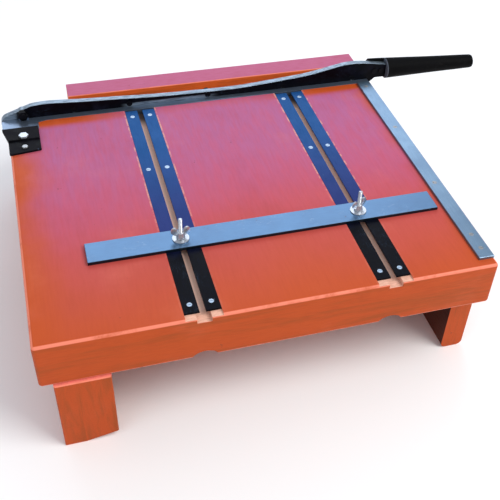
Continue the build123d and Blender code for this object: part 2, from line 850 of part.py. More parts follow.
gauge_top = gauge_bottom + gauge_thickness
nut_base = gauge_top + washer_thickness + slide_gap
head_top = top - rebate_depth - slide_gap
gauge_sides = (("left", slot_centres[0], 0.0), ("right", slot_centres[1], right_wing_turn))
for side, x, turn in gauge_sides:
    with BuildPart() as gauge_bolt:
        with BuildSketch(Plane.XY.offset(head_top - gauge_head_height)):
            with Locations((x, gauge_y)):
                Rectangle(gauge_head_width, gauge_head_width)
        extrude(amount=gauge_head_height)
        with BuildSketch(Plane.XY.offset(head_top)):
            with Locations((x, gauge_y)):
                Circle(gauge_bolt_radius)
        extrude(amount=top + gauge_bolt_top - head_top)
        chamfer(gauge_bolt.faces().sort_by(Axis.Z)[-1].edges(), length=thread_chamfer)
    save(gauge_bolt, f"{side}_gauge_bolt")

    with BuildPart() as gauge_washer:
        with BuildSketch(Plane.XY.offset(gauge_top)):
            with Locations((x, gauge_y)):
                Circle(washer_radius)
                Circle(gauge_bolt_radius + hole_gap, mode=Mode.SUBTRACT)
        extrude(amount=washer_thickness)
    save(gauge_washer, f"{side}_gauge_washer")

    wing_plane = Plane(
        origin=(x, gauge_y, nut_base),
        x_dir=(cos(radians(turn)), sin(radians(turn)), 0),
        z_dir=(sin(radians(turn)), -cos(radians(turn)), 0),
    )
    lobe_x = wing_span / 2 - wing_lobe_across
    lobe_z = wing_height - wing_lobe_up
    root_x = wing_hub_radius - wing_root
    with BuildPart() as wing_nut:
        with BuildSketch(wing_plane.offset(-wing_thickness / 2)):
            with Locations((-lobe_x, lobe_z), (lobe_x, lobe_z)):
                Ellipse(wing_lobe_across, wing_lobe_up)
            with BuildLine():
                Polyline(
                    (-lobe_x, lobe_z),
                    (-root_x, wing_foot),
                    (root_x, wing_foot),
                    (lobe_x, lobe_z),
                    (0, wing_hub_height / 2),
                    close=True,
                )
            make_face()
        extrude(amount=wing_thickness)
        with BuildSketch(Plane.XY.offset(nut_base)):
            with Locations((x, gauge_y)):
                Circle(wing_hub_radius)
        with BuildSketch(Plane.XY.offset(nut_base + wing_hub_height)):
            with Locations((x, gauge_y)):
                Circle(wing_hub_top_radius)
        loft()
        with Locations((x, gauge_y, nut_base)):
            Cylinder(
                gauge_bolt_radius + running_fit,
                2 * wing_height,
                align=(Align.CENTER, Align.CENTER, Align.MIN),
                mode=Mode.SUBTRACT,
            )
    save(wing_nut, f"{side}_wing_nut")
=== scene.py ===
import bpy
import bmesh
import math
from mathutils import Matrix, Vector


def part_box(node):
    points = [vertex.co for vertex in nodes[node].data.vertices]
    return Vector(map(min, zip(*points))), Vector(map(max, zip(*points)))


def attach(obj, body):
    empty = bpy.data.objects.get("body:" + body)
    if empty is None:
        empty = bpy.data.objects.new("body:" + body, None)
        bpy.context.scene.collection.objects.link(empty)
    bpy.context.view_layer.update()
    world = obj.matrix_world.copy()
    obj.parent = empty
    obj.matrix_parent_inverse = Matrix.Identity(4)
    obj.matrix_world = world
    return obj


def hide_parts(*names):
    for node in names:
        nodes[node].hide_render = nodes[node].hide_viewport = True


# guillotine paper cutter: painted bench, blued strips, worn steel arm
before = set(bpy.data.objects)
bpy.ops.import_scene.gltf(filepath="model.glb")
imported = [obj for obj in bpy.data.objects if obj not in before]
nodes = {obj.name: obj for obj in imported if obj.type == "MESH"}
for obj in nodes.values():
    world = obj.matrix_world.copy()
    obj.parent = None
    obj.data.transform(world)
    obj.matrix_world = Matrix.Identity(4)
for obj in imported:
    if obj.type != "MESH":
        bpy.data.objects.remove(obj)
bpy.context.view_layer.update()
print("frame loaded,", len(nodes), "nodes")

tableLow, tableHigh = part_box("table_top")
armLow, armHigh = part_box("knife_arm")
tableLeft, tableFront, tableUnder = tableLow
tableRight, tableRear, tableTopZ = tableHigh


# small helpers for node trees
def newFinish(name):
    finish = bpy.data.materials.new(name)
    finish.use_nodes = True
    tree = finish.node_tree
    shader = tree.nodes["Principled BSDF"]
    return finish, tree, shader


def objectCoords(tree):
    # the point, its three coordinates, and the three parts of the face's direction
    coords = tree.nodes.new("ShaderNodeTexCoord")
    split = tree.nodes.new("ShaderNodeSeparateXYZ")
    tree.links.new(coords.outputs["Object"], split.inputs[0])
    facing = tree.nodes.new("ShaderNodeSeparateXYZ")
    tree.links.new(coords.outputs["Normal"], facing.inputs[0])
    return coords.outputs["Object"], split.outputs, facing.outputs


def stretched(tree, vector, scale):
    mapping = tree.nodes.new("ShaderNodeMapping")
    mapping.inputs["Scale"].default_value = scale
    tree.links.new(vector, mapping.inputs["Vector"])
    return mapping.outputs[0]


def noiseOf(tree, vector, pattern):
    # a pattern is the noise's scale, detail, roughness and distortion
    noise = tree.nodes.new("ShaderNodeTexNoise")
    for socket, value in zip(("Scale", "Detail", "Roughness", "Distortion"), pattern):
        noise.inputs[socket].default_value = value
    tree.links.new(vector, noise.inputs["Vector"])
    return noise.outputs["Fac"]


def plug(tree, value, socket):
    if isinstance(value, (int, float)):
        socket.default_value = value
    elif isinstance(value, (tuple, list)):
        socket.default_value = tuple(value) + (1.0,) * (4 - len(value))
    else:
        tree.links.new(value, socket)


def sums(tree, operation, first, second=0.0):
    node = tree.nodes.new("ShaderNodeMath")
    node.operation = operation
    plug(tree, first, node.inputs[0])
    plug(tree, second, node.inputs[1])
    return node.outputs[0]


def plus(tree, first, second):
    return sums(tree, "ADD", first, second)


def minus(tree, first, second):
    return sums(tree, "SUBTRACT", first, second)


def product(tree, *factors):
    result = factors[0]
    for factor in factors[1:]:
        result = sums(tree, "MULTIPLY", result, factor)
    return result


def larger(tree, first, second):
    return sums(tree, "MAXIMUM", first, second)


def smaller(tree, first, second):
    return sums(tree, "MINIMUM", first, second)


def sizeOf(tree, value):
    return sums(tree, "ABSOLUTE", value)


def fade(tree, value, start, end, low=0.0, high=1.0, smooth=True):
    # low up to start, high from end on
    node = tree.nodes.new("ShaderNodeMapRange")
    node.interpolation_type = "SMOOTHSTEP" if smooth else "LINEAR"
    plug(tree, value, node.inputs["Value"])
    node.inputs["From Min"].default_value = start
    node.inputs["From Max"].default_value = end
    node.inputs["To Min"].default_value = low
    node.inputs["To Max"].default_value = high
    return node.outputs["Result"]


def blendColour(tree, factor, first, second):
    node = tree.nodes.new("ShaderNodeMix")
    node.data_type = "RGBA"
    plug(tree, factor, node.inputs["Factor"])
    plug(tree, first, node.inputs["A"])
    plug(tree, second, node.inputs["B"])
    return node.outputs["Result"]


def bumpOn(tree, shader, height, distance, strength):
    node = tree.nodes.new("ShaderNodeBump")
    node.inputs["Strength"].default_value = strength
    node.inputs["Distance"].default_value = distance
    tree.links.new(height, node.inputs["Height"])
    tree.links.new(node.outputs[0], shader.inputs["Normal"])


def scratches(tree, vector, scale, along):
    # thin lines where a stretched noise crosses its middle value
    lines = noiseOf(tree, stretched(tree, vector, along), (scale, 2.0, 0.4, 0.3))
    thin = fade(tree, sizeOf(tree, minus(tree, lines, 0.5)), 0.0, 0.02, 1.0, 0.0)
    patchy = fade(tree, noiseOf(tree, vector, (scale * 0.6, 2.0, 0.55, 0.0)), 0.52, 0.66)
    return product(tree, thin, patchy)


# paint on the woodwork
paint = {
    "orange": (0.50, 0.074, 0.012),
    "litRailFront": (0.95, 0.165, 0.030),  # painted light on the upright faces of the rail
    # pink, lilac and rose: painted sky reflection on level tops
    "pink": (0.50, 0.075, 0.125),
    "lilac": (0.41, 0.108, 0.255),
    "rose": (0.70, 0.070, 0.085),
    "olive": (0.20, 0.060, 0.012),  # old varnish streaks on the sides
    "levelHighlight": (0.86, 0.24, 0.20),  # painted highlight on the level faces of the runners
    # light tone for worn paint and for the painted edge highlight
    "wearAndHighlight": (0.90, 0.26, 0.17),
    "deep": (0.30, 0.040, 0.020),
    "dirt": (0.10, 0.035, 0.025),
    # painted shadow colour for faces under the table
    "paintedShade": (0.030, 0.007, 0.004),
    "pinkDepth": (-0.04, 0.32),  # from the front edge: where pink starts and is full
    "lilacDepth": (0.14, 0.42),
    "reflectionWander": 0.10,
    "redLeft": 0.07,  # margins kept red, free of the painted reflection
    "redRight": 0.05,
    "redRear": 0.030,
    "gloss": 0.14,
    "roughness": (0.34, 0.62),
    "grainHeight": 0.00035,
}

# noise patterns of the paint, and how they are drawn out
paintNoise = {
    "fineGrain": (60.0, 6.0, 0.62, 0.6),
    "broadGrain": (14.0, 4.0, 0.5, 1.2),
    "wander": (5.0, 4.0, 0.55, 0.0),
    "reflectionMottle": (34.0, 6.0, 0.70, 0.2),
    "reflectionMottleLie": (2.4, 0.42, 1.0),
    "brushMarks": (35.0, 3.0, 0.5, 0.0),
    "topStrokes": (30.0, 5.0, 0.6, 0.0),
    "topStrokesLie": (8.5, 0.8, 1.0),
    "blotches": (9.0, 5.0, 0.6, 0.0),
    "varnish": (26.0, 6.0, 0.68, 0.5),
    "chips": (85.0, 3.0, 0.7, 0.0),
    "edgePatches": (26.0, 5.0, 0.65, 0.0),
}
plankLie = {"grain": (1.0, 9.0, 9.0), "varnish": (0.16, 2.4, 2.4)}
runnerLie = {"grain": (9.0, 1.0, 9.0), "varnish": (2.4, 0.16, 0.30)}


def times(scale, share):
    return tuple(part * share for part in scale)


def woodGrain(tree, place, along):
    fine = noiseOf(tree, stretched(tree, place, along), paintNoise["fineGrain"])
    broad = noiseOf(tree, stretched(tree, place, times(along, 0.5)), paintNoise["broadGrain"])
    return plus(tree, product(tree, fine, 0.55), product(tree, broad, 0.45))


def skyReflectionTop(tree, place, where, facing):
    # painted sky reflection: pink and lilac on the level top, least along the edges
    fromFront = minus(tree, where["Y"], tableFront)
    fromLeft = minus(tree, where["X"], tableLeft)
    fromRight = minus(tree, tableRight, where["X"])
    offMiddle = minus(tree, noiseOf(tree, place, paintNoise["wander"]), 0.5)
    wander = product(tree, offMiddle, paint["reflectionWander"])
    depth = plus(tree, fromFront, wander)
    pinkShare = fade(tree, depth, *paint["pinkDepth"])
    lilacShare = fade(tree, depth, *paint["lilacDepth"])
    sides = smaller(tree, fade(tree, plus(tree, fromLeft, wander), 0.0, paint["redLeft"]),
                    fade(tree, plus(tree, fromRight, wander), 0.0, paint["redRight"]))
    # no painted reflection beside the knife, most at the two rear corners, so the paint shows red there
    fromRear = minus(tree, tableRear, plus(tree, where["Y"], product(tree, wander, 0.25)))
    cornerwards = fade(tree, smaller(tree, fromLeft, fromRight), 0.10, 0.24, 1.0, 0.35)
    besideKnife = fade(tree, fromRear, paint["redRear"] * 0.4, paint["redRear"], 1.0, 0.0)
    sides = smaller(tree, sides, minus(tree, 1.0, product(tree, besideKnife, cornerwards)))
    level = fade(tree, facing["Z"], 0.55, 0.97)
    pinkShare = product(tree, pinkShare, level, sides)
    lilacShare = product(tree, lilacShare, level, sides)
    colour = blendColour(tree, pinkShare, paint["orange"], paint["pink"])
    # the painted reflection is mottled and drawn out from front to rear
    mottle = noiseOf(tree, stretched(tree, place, paintNoise["reflectionMottleLie"]), paintNoise["reflectionMottle"])
    lilacShare = product(tree, lilacShare, fade(tree, mottle, 0.36, 0.62, 0.76, 0.95))
    colour = blendColour(tree, lilacShare, colour, paint["lilac"])
    rosy = product(tree, pinkShare, fade(tree, mottle, 0.56, 0.40, 0.0, 0.09))
    return blendColour(tree, rosy, colour, paint["rose"])


def paintedWood(name, lie, isTop=False, paintedLight=0.0, paintedShadeInside=False):
    finish, tree, shader = newFinish(name)
    place, where, facing = objectCoords(tree)
    grain = woodGrain(tree, place, lie["grain"])
    brush = noiseOf(tree, stretched(tree, place, times(lie["grain"], 1.6)), paintNoise["brushMarks"])
    cloud = noiseOf(tree, place, paintNoise["blotches"])
    if isTop:
        # the top was brushed from front to rear, across the grain
        onTop = fade(tree, facing["Z"], 0.55, 0.97)
        strokes = noiseOf(tree, stretched(tree, place, paintNoise["topStrokesLie"]), paintNoise["topStrokes"])
        strokes = fade(tree, strokes, 0.2, 0.8, 0.34, 0.66, smooth=False)
        elsewhere = product(tree, brush, minus(tree, 1.0, onTop))
        brush = plus(tree, elsewhere, product(tree, strokes, onTop))
        grain = product(tree, grain, fade(tree, onTop, 0.0, 1.0, 1.0, 0.35))
        # painted sky reflection on the table top
        colour = skyReflectionTop(tree, place, where, facing)
    else:
        # painted light: the rail's upright faces lighter, its level faces with the painted sky reflection,
        # the runners' level faces with a painted highlight
        level = fade(tree, facing["Z"], 0.6, 0.95)
        front = blendColour(tree, paintedLight, paint["orange"], paint["litRailFront"])
        top = paint["lilac"] if paintedLight else paint["levelHighlight"]
        colour = blendColour(tree, product(tree, level, 0.85), front, top)
    # slow blotches, dark and light, and dark brush marks
    colour = blendColour(tree, fade(tree, cloud, 0.50, 0.82, 0.0, 0.22), colour, paint["deep"])
    colour = blendColour(tree, fade(tree, cloud, 0.46, 0.20, 0.0, 0.14), colour, paint["wearAndHighlight"])
    colour = blendColour(tree, fade(tree, brush, 0.40, 0.68, 0.0, 0.16), colour, paint["deep"])
    # streaks of the old varnish on the upright faces
    upness = sizeOf(tree, facing["Z"])
    upright = fade(tree, upness, 0.35, 0.15)
    streaks = noiseOf(tree, stretched(tree, place, lie["varnish"]), paintNoise["varnish"])
    streaks = product(tree, upright, fade(tree, streaks, 0.46, 0.66, 0.0, 0.42))
    colour = blendColour(tree, streaks, colour, paint["olive"])
    # small dark chips
    chip = fade(tree, noiseOf(tree, place, paintNoise["chips"]), 0.72, 0.76)
    colour = blendColour(tree, product(tree, chip, 0.55), colour, paint["dirt"])
    # painted highlight, partly worn paint, on the eased edges: their faces look neither up nor straight out
    outness = larger(tree, sizeOf(tree, facing["X"]), sizeOf(tree, facing["Y"]))
    slant = smaller(tree, fade(tree, upness, 0.10, 0.40), fade(tree, outness, 0.20, 0.50))
    edgePatchy = fade(tree, noiseOf(tree, place, paintNoise["edgePatches"]), 0.30, 0.50, 0.35, 1.0)
    colour = blendColour(tree, product(tree, slant, edgePatchy, 0.85), colour, paint["wearAndHighlight"])
    if paintedShadeInside:
        # painted shadow on the face that looks inward under the table
        inner = fade(tree, facing["X"], -0.45, -0.80)
        low = fade(tree, where["Z"], 0.0, tableUnder * 0.9, 0.90, 1.0)
        colour = blendColour(tree, product(tree, inner, low), colour, paint["paintedShade"])
    uneven = plus(tree, brush, product(tree, cloud, 0.6))
    rough = fade(tree, uneven, 0.4, 1.2, *paint["roughness"], smooth=False)
    height = plus(tree, product(tree, grain, 0.7), product(tree, brush, 0.5))
    if isTop:
        bare = slotMask(tree, where, place)
        colour = blendColour(tree, bare, colour, rawWood(tree, where, place))
        rough = larger(tree, rough, product(tree, bare, 0.8))
    tree.links.new(colour, shader.inputs["Base Color"])
    tree.links.new(rough, shader.inputs["Roughness"])
    shader.inputs["Specular IOR Level"].default_value = paint["gloss"]
    bumpOn(tree, shader, height, paint["grainHeight"], 0.55)
    return finish


# bare wood in and beside the two slots
slotWood = {
    "bare": (0.92, 0.52, 0.39),
    "bareDark": (0.55, 0.30, 0.21),
    # painted light: slot floor and walls behind the notch paler than the bare wood
    "floor": (0.96, 0.66, 0.54),
    # painted shade at the slot's rear end
    "paintedShade": (0.03, 0.02, 0.018),
    "rings": (22.0, 5.0, 0.6, 1.0),
    "ringsLie": (4.0, 60.0, 60.0),
    "floorFrom": (0.012, 0.030),  # from the front edge, behind the open notch
    "shadeReach": (0.012, 0.045),  # painted shade, from the rear edge
    "clearance": 0.0006,  # wood left bare at the strips' outer sides
    "depth": 0.0112,
    "maskLine": 0.0024,  # broken bare line beside the strips
    "maskLineFrom": (0.12, 0.30),
    "broken": (60.0, 4.0, 0.7, 0.0),
    "soft": 0.0004,
    "outerStrips": (("left_slot_outer_strip", "left_slot_inner_strip"),
                    ("right_slot_inner_strip", "right_slot_outer_strip")),
}


def rawWood(tree, where, place):
    rings = noiseOf(tree, stretched(tree, place, slotWood["ringsLie"]), slotWood["rings"])
    raw = blendColour(tree, fade(tree, rings, 0.32, 0.70), slotWood["bare"], slotWood["bareDark"])
    below = fade(tree, where["Z"], tableTopZ - 0.0014, tableTopZ - 0.0006, 1.0, 0.0)
    # painted light inside the slot, behind the open notch
    near, far = slotWood["floorFrom"]
    behindNotch = fade(tree, where["Y"], tableFront + near, tableFront + far, 0.0, 0.8)
    raw = blendColour(tree, product(tree, behindNotch, below), raw, slotWood["floor"])
    # painted shade in the slot near the rear edge, under the knife
    near, far = slotWood["shadeReach"]
    rearShade = fade(tree, minus(tree, tableRear, where["Y"]), near, far, 0.9, 0.0)
    return blendColour(tree, product(tree, rearShade, below), raw, slotWood["paintedShade"])


def slotMask(tree, where, place):
    # the slots with their rebates, and a broken line beside the strips
    soft = slotWood["soft"]
    inSlot = 0.0
    margin = 0.0
    for first, last in slotWood["outerStrips"]:
        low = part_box(first)[0].x - slotWood["clearance"]
        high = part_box(last)[1].x + slotWood["clearance"]
        half = (high - low) / 2
        across = sizeOf(tree, minus(tree, where["X"], (low + high) / 2))
        inside = fade(tree, across, half + soft, half - soft)
        beside = fade(tree, across, half + slotWood["maskLine"], half + slotWood["maskLine"] * 0.6)
        inSlot = larger(tree, inSlot, inside)
        margin = larger(tree, margin, beside)
    below = fade(tree, where["Z"], tableTopZ - soft, tableTopZ - 0.0014)
    bottom = tableTopZ - slotWood["depth"]
    above = fade(tree, where["Z"], bottom, bottom + 2 * soft)
    behindFront = fade(tree, where["Y"], tableFront + soft, tableFront + 4 * soft)
    cut = product(tree, inSlot, below, above, behindFront)
    broken = fade(tree, noiseOf(tree, place, slotWood["broken"]), 0.42, 0.60, 0.0, 0.60)
    near, far = slotWood["maskLineFrom"]
    rearMost = fade(tree, where["Y"], tableFront + near, tableFront + far, 0.15, 1.0)
    level = fade(tree, where["Z"], tableTopZ - soft, tableTopZ - 0.0001)
    return larger(tree, cut, product(tree, margin, level, broken, rearMost))


# bare and plated steel
steel = {
    "gauge": (0.115, 0.215, 0.36),
    "gaugeDark": (0.09, 0.15, 0.25),
    "guide": (0.215, 0.325, 0.445),
    "bed": (0.24, 0.31, 0.42),
    "bedDark": (0.10, 0.13, 0.18),
    "bright": (0.55, 0.60, 0.66),
    "rust": (0.20, 0.085, 0.035),
    "black": (0.002, 0.002, 0.003),
    "zinc": ((0.58, 0.61, 0.66), (0.26, 0.28, 0.31)),
    "stripZinc": ((0.38, 0.47, 0.58), (0.19, 0.24, 0.31)),
    "dullZinc": ((0.36, 0.37, 0.38), (0.14, 0.14, 0.15)),
    "brushing": (45.0, 5.0, 0.65, 0.0),
    "cloud": (16.0, 5.0, 0.6, 0.0),
    "speck": (140.0, 3.0, 0.75, 0.0),
    "brushHeight": 0.00003,
    "bedBlackFrom": 0.0030,  # above the table, where the heel is painted
    "alongTable": (1.0, 30.0, 30.0),
    "acrossTable": (30.0, 1.0, 30.0),
}


def brushedSteel(name, light, dark, along, rust, rough=(0.28, 0.5), metallic=0.85,
                 paintedFrontShade=0.0, blackFrom=None):
    finish, tree, shader = newFinish(name)
    place, where, facing = objectCoords(tree)
    lines = noiseOf(tree, stretched(tree, place, along), steel["brushing"])
    cloud = noiseOf(tree, place, steel["cloud"])
    speck = fade(tree, noiseOf(tree, place, steel["speck"]), 0.62, 0.76)
    colour = blendColour(tree, fade(tree, cloud, 0.35, 0.70, 0.0, 0.35), light, dark)
    colour = blendColour(tree, fade(tree, lines, 0.35, 0.70, 0.0, 0.22), colour, dark)
    spots = product(tree, speck, fade(tree, cloud, 0.44, 0.66))
    colour = blendColour(tree, product(tree, spots, rust), colour, steel["rust"])
    marks = scratches(tree, place, 60.0, (1.0, 5.0, 1.0))
    colour = blendColour(tree, product(tree, marks, 0.2), colour, steel["bright"])
    if paintedFrontShade:
        # painted shade on the front face
        edge = fade(tree, facing["Y"], -0.40, -0.75, 0.0, paintedFrontShade)
        colour = blendColour(tree, edge, colour, steel["black"])
    if blackFrom is not None:
        # what stands above this height was painted black with the arm
        painted = fade(tree, where["Z"], blackFrom, blackFrom + 0.0015)
        colour = blendColour(tree, painted, colour, steel["black"])
    tree.links.new(colour, shader.inputs["Base Color"])
    shader.inputs["Metallic"].default_value = metallic
    tree.links.new(fade(tree, plus(tree, lines, spots), 0.3, 1.1, *rough), shader.inputs["Roughness"])
    bumpOn(tree, shader, plus(tree, lines, product(tree, spots, 0.8)), steel["brushHeight"], 0.5)
    return finish


def zincPlate(name):
    light, dark = steel[name]
    return brushedSteel(name, light, dark, (8.0, 8.0, 8.0), 0.35, (0.26, 0.46), 0.8)


# slot strips: blue at the knife end, nearly black and oily towards the front
blued = {
    "rear": (0.010, 0.072, 0.23),
    "middle": (0.020, 0.034, 0.150),
    "front": (0.003, 0.003, 0.005),
    "brushed": (0.008, 0.014, 0.050),
    "middleFrom": (0.115, 0.175),  # from the table's front edge
    "rearFrom": (0.17, 0.42),
    "wander": 0.06,
    "cloud": (20.0, 5.0, 0.6, 0.0),
    "brushing": (60.0, 5.0, 0.65, 0.0),
    "metallic": 0.35,
    "gloss": 0.06,
    "brushHeight": 0.00005,
}


def bluedSteel(name):
    finish, tree, shader = newFinish(name)
    place, where, _ = objectCoords(tree)
    cloud = noiseOf(tree, place, blued["cloud"])
    wander = product(tree, minus(tree, cloud, 0.5), blued["wander"])
    fromFront = minus(tree, plus(tree, where["Y"], wander), tableFront)
    toMiddle = fade(tree, fromFront, *blued["middleFrom"])
    colour = blendColour(tree, toMiddle, blued["front"], blued["middle"])
    toRear = fade(tree, fromFront, *blued["rearFrom"])
    colour = blendColour(tree, toRear, colour, blued["rear"])
    lines = noiseOf(tree, stretched(tree, place, steel["acrossTable"]), blued["brushing"])
    colour = blendColour(tree, fade(tree, lines, 0.5, 0.8, 0.0, 0.4), colour, blued["brushed"])
    marks = scratches(tree, place, 55.0, (6.0, 1.0, 1.0))
    colour = blendColour(tree, product(tree, marks, 0.10), colour, steel["gauge"])
    tree.links.new(colour, shader.inputs["Base Color"])
    shader.inputs["Metallic"].default_value = blued["metallic"]
    shader.inputs["Specular IOR Level"].default_value = blued["gloss"]
    rough = fade(tree, plus(tree, lines, cloud), 0.6, 1.4, 0.30, 0.52)
    tree.links.new(rough, shader.inputs["Roughness"])
    bumpOn(tree, shader, lines, blued["brushHeight"], 0.5)
    return finish


# bracket, pivot and blade fastenings
iron = {
    "cloudy": (0.010, 0.009, 0.016),
    "worn": (0.05, 0.05, 0.06),
    "wear": 0.5,
    "roughness": (0.38, 0.62),
    "pits": (220.0, 4.0, 0.6, 0.0),
    "cloud": (30.0, 4.0, 0.6, 0.0),
    "chips": (150.0, 4.0, 0.7, 0.0),
    "gloss": 0.07,
    "pitDepth": 0.00009,
}


def blackIron(name):
    finish, tree, shader = newFinish(name)
    place = objectCoords(tree)[0]
    cloud = noiseOf(tree, place, iron["cloud"])
    colour = blendColour(tree, fade(tree, cloud, 0.4, 0.75, 0.0, 0.5), steel["black"], iron["cloudy"])
    marks = scratches(tree, place, 70.0, (1.0, 4.0, 1.0))
    colour = blendColour(tree, product(tree, marks, iron["wear"]), colour, iron["worn"])
    chips = fade(tree, noiseOf(tree, place, iron["chips"]), 0.66, 0.72)
    colour = blendColour(tree, product(tree, chips, iron["wear"]), colour, steel["gaugeDark"])
    tree.links.new(colour, shader.inputs["Base Color"])
    shader.inputs["Specular IOR Level"].default_value = iron["gloss"]
    tree.links.new(fade(tree, cloud, 0.3, 0.7, *iron["roughness"]), shader.inputs["Roughness"])
    bumpOn(tree, shader, noiseOf(tree, place, iron["pits"]), iron["pitDepth"], 0.6)
    return finish


# the arm and its blade; lengths run from the table's left side
armPaint = {
    "side": (0.0015, 0.0015, 0.003),
    "sideCloudy": (0.009, 0.009, 0.020),
    # bare steel, its pale blue-grey partly a painted sky reflection
    "spine": (0.34, 0.42, 0.50),
    "spineDark": (0.10, 0.13, 0.17),
    "nose": (0.019, 0.012),
    "groundFrom": (0.185, 0.220),  # bare ground patch on the face
    "groundTo": (0.360, 0.310),
    "groundTop": (0.0075, 0.0045),  # above the table
    "bladeEdge": (0.0075, 0.0105),  # below the table
    "ragged": (120.0, 4.0, 0.65, 0.0),
    "grinding": (40.0, 5.0, 0.6, 0.0),
    "grindingLie": (1.0, 20.0, 20.0),
    "cloud": (26.0, 4.0, 0.6, 0.0),
    "gloss": 0.05,
    "grindingHeight": 0.00008,
}


def armFinish(name, isBlade=False):
    # black sides, with the spine, nose and one stretch of the face bare steel; the up-facing spine's pale
    # blue-grey is partly a painted sky reflection
    finish, tree, shader = newFinish(name)
    place, where, facing = objectCoords(tree)
    ragged = product(tree, minus(tree, noiseOf(tree, place, armPaint["ragged"]), 0.5), 0.5)
    streak = noiseOf(tree, stretched(tree, place, armPaint["grindingLie"]), armPaint["grinding"])
    # up-facing faces pale: bare spine and painted sky reflection
    upward = fade(tree, plus(tree, facing["Z"], product(tree, ragged, 0.5)), 0.30, 0.62)
    fromLeft = minus(tree, where["X"], tableLeft)
    nose = fade(tree, plus(tree, fromLeft, product(tree, ragged, 0.012)), *armPaint["nose"])
    overTable = minus(tree, plus(tree, where["Z"], product(tree, ragged, 0.004)), tableTopZ)
    start = fade(tree, fromLeft, *armPaint["groundFrom"])
    stop = fade(tree, fromLeft, *armPaint["groundTo"])
    patch = product(tree, start, stop, fade(tree, overTable, *armPaint["groundTop"]))
    bare = larger(tree, larger(tree, upward, nose), patch)
    if isBlade:
        edgeStart, edgeEnd = armPaint["bladeEdge"]
        bare = larger(tree, bare, fade(tree, overTable, -edgeStart, -edgeEnd))
    metal = blendColour(tree, fade(tree, streak, 0.36, 0.70), armPaint["spine"], armPaint["spineDark"])
    cloud = noiseOf(tree, place, armPaint["cloud"])
    cloudy = fade(tree, cloud, 0.45, 0.75, 0.0, 0.7)
    side = blendColour(tree, cloudy, armPaint["side"], armPaint["sideCloudy"])
    marks = scratches(tree, place, 60.0, (1.0, 5.0, 5.0))
    side = blendColour(tree, product(tree, marks, 0.12), side, steel["gaugeDark"])
    tree.links.new(blendColour(tree, bare, side, metal), shader.inputs["Base Color"])
    shader.inputs["Specular IOR Level"].default_value = armPaint["gloss"]
    tree.links.new(product(tree, bare, 0.8), shader.inputs["Metallic"])
    rough = fade(tree, plus(tree, streak, cloud), 0.6, 1.4, 0.30, 0.55)
    tree.links.new(rough, shader.inputs["Roughness"])
    height = plus(tree, streak, product(tree, bare, -0.4))
    bumpOn(tree, shader, height, armPaint["grindingHeight"], 0.55)
    return finish


# moulded grip; lengths run from the table's left side, heights from its top
gripShape = {
    "start": 0.639,
    "shoulder": 0.6704,
    "reach": 0.849,
    "radiusArm": 0.0194,
    "radiusEnd": 0.0120,
    "heightArm": 0.0152,
    "heightEnd": 0.0082,
    "axis": 0.0072,  # behind the arm's front face
    "lapGap": 0.0001,
    "waist": 0.0003,
    "startRound": 0.0015,
    "endRound": 0.0052,
    "around": 72,
    "along": 70,
}
gripLook = {
    "colour": (0.0016, 0.0016, 0.0019),
    "worn": (0.004, 0.004, 0.005),
    "scuffed": (0.03, 0.03, 0.03),
    # painted highlight colour at the shoulder
    "shoulderHighlight": (0.13, 0.15, 0.19),
    "shoulderHighlightReach": (0.0006, 0.0018),  # from the shoulder beside the tang
    "pores": (420.0, 3.0, 0.6, 0.0),
    "cloud": (32.0, 4.0, 0.6, 0.0),
    "cloudLie": (0.6, 1.0, 1.0),
    "gloss": 0.05,
    "poreDepth": 0.00008,
}


def rubberGrip(name):
    finish, tree, shader = newFinish(name)
    place, where, _ = objectCoords(tree)
    pores = noiseOf(tree, place, gripLook["pores"])
    cloud = noiseOf(tree, stretched(tree, place, gripLook["cloudLie"]), gripLook["cloud"])
    colour = blendColour(tree, fade(tree, cloud, 0.42, 0.72, 0.0, 0.7), gripLook["colour"], gripLook["worn"])
    marks = scratches(tree, place, 50.0, (1.0, 4.0, 4.0))
    colour = blendColour(tree, product(tree, marks, 0.25), colour, gripLook["scuffed"])
    # painted highlight on the shoulder beside the tang
    fromShoulder = sizeOf(tree, minus(tree, where["X"], tableLeft + gripShape["shoulder"]))
    near = fade(tree, fromShoulder, *gripLook["shoulderHighlightReach"], 1.0, 0.0)
    shoulderHighlight = product(tree, near, fade(tree, pores, 0.3, 0.5, 0.4, 1.0))
    colour = blendColour(tree, product(tree, shoulderHighlight, 0.8), colour, gripLook["shoulderHighlight"])
    tree.links.new(colour, shader.inputs["Base Color"])
    shader.inputs["Specular IOR Level"].default_value = gripLook["gloss"]
    tree.links.new(fade(tree, cloud, 0.3, 0.7, 0.42, 0.66), shader.inputs["Roughness"])
    bumpOn(tree, shader, pores, gripLook["poreDepth"], 0.5)
    return finish


tablePaint = paintedWood("tablePaint", plankLie, isTop=True)
runnerPaint = paintedWood("runnerPaint", runnerLie)
rightRunnerPaint = paintedWood("rightRunnerPaint", runnerLie, paintedShadeInside=True)
railPaint = paintedWood("railPaint", plankLie, paintedLight=0.8)
stripBlue = bluedSteel("stripBlue")
gaugeSteel = brushedSteel("gaugeSteel", steel["gauge"], steel["gaugeDark"], steel["alongTable"], 0.5,
                          paintedFrontShade=0.85)
guideSteel = brushedSteel("guideSteel", steel["guide"], steel["gaugeDark"], steel["acrossTable"], 0.5)
bedSteel = brushedSteel("bedSteel", steel["bed"], steel["bedDark"], steel["alongTable"], 0.4,
                        blackFrom=tableTopZ + steel["bedBlackFrom"])
zinc = zincPlate("zinc")
stripZinc = zincPlate("stripZinc")
dullZinc = zincPlate("dullZinc")
blackPaint = blackIron("blackPaint")
armSteel = armFinish("armSteel")
bladeSteel = armFinish("bladeSteel", isBlade=True)
gripRubber = rubberGrip("gripRubber")
print("finishes made")


# helpers for making pieces
def finishOn(piece, finish):
    piece.data.materials.clear()
    piece.data.materials.append(finish)


def linked(name, mesh):
    piece = bpy.data.objects.new(name, mesh)
    bpy.context.scene.collection.objects.link(piece)
    return piece


